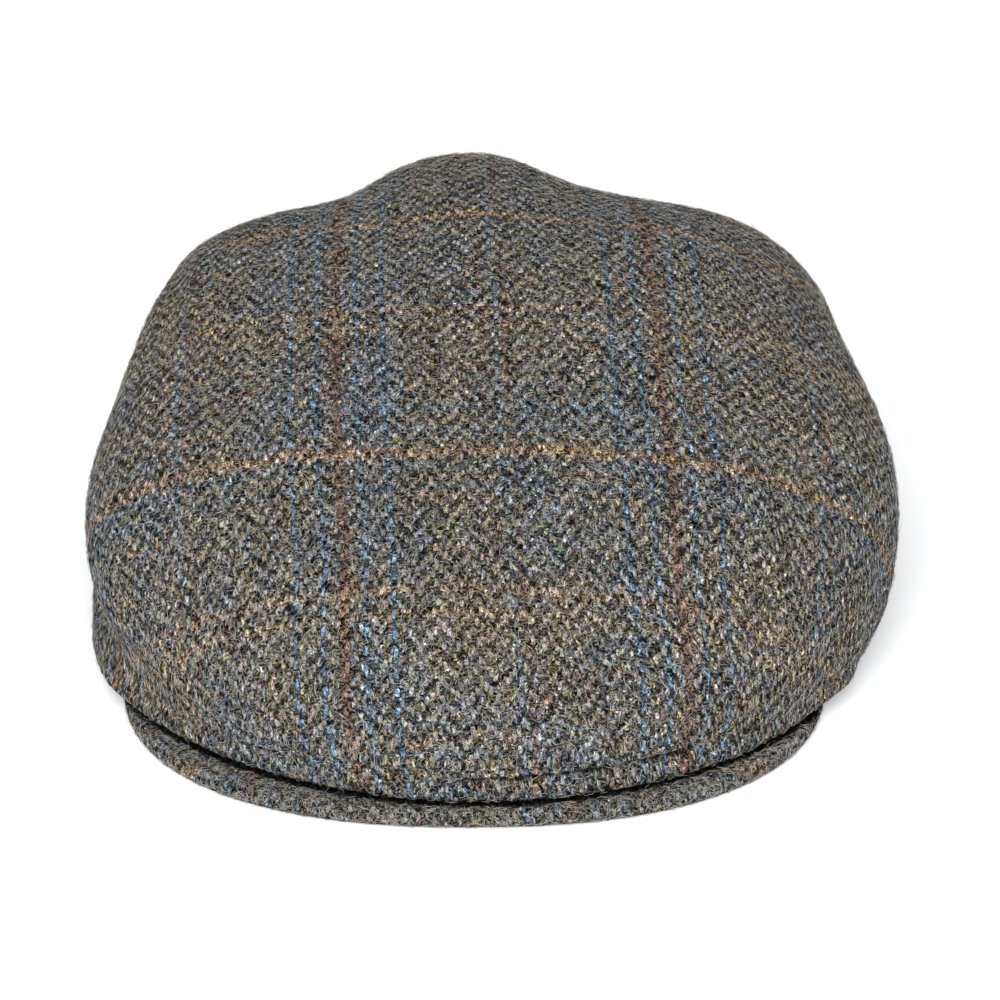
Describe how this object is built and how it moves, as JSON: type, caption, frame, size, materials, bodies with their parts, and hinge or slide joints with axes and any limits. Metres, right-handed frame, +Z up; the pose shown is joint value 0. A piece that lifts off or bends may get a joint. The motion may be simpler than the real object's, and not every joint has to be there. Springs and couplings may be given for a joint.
{
  "type": "flat cap",
  "caption": "Soft wool tweed flat cap with a rounded crown of sewn panels, wider than it is high, and a short stiff peak under its front edge.",
  "frame": {"origin": "on the floor under the middle of the cap's bounding box, with the cap lying on its hem and peak", "axes": "+Z up through the crown, +Y towards the back of the cap, so the peak points along -Y, +X towards the wearer's left"},
  "size_m": [0.2158, 0.2444, 0.0972],
  "materials": {
    "crown_tweed": "grey-brown herringbone wool tweed with a faint blue and rust check, matt, slightly hairy",
    "peak_tweed": "the same herringbone tweed, stretched over a stiff peak and rolled under its edge, matt"
  },
  "bodies": {
    "root": {"top_panel": "crown_tweed", "side_panel_right": "crown_tweed", "side_panel_left": "crown_tweed", "peak": "peak_tweed"}
  },
  "joints": []
}
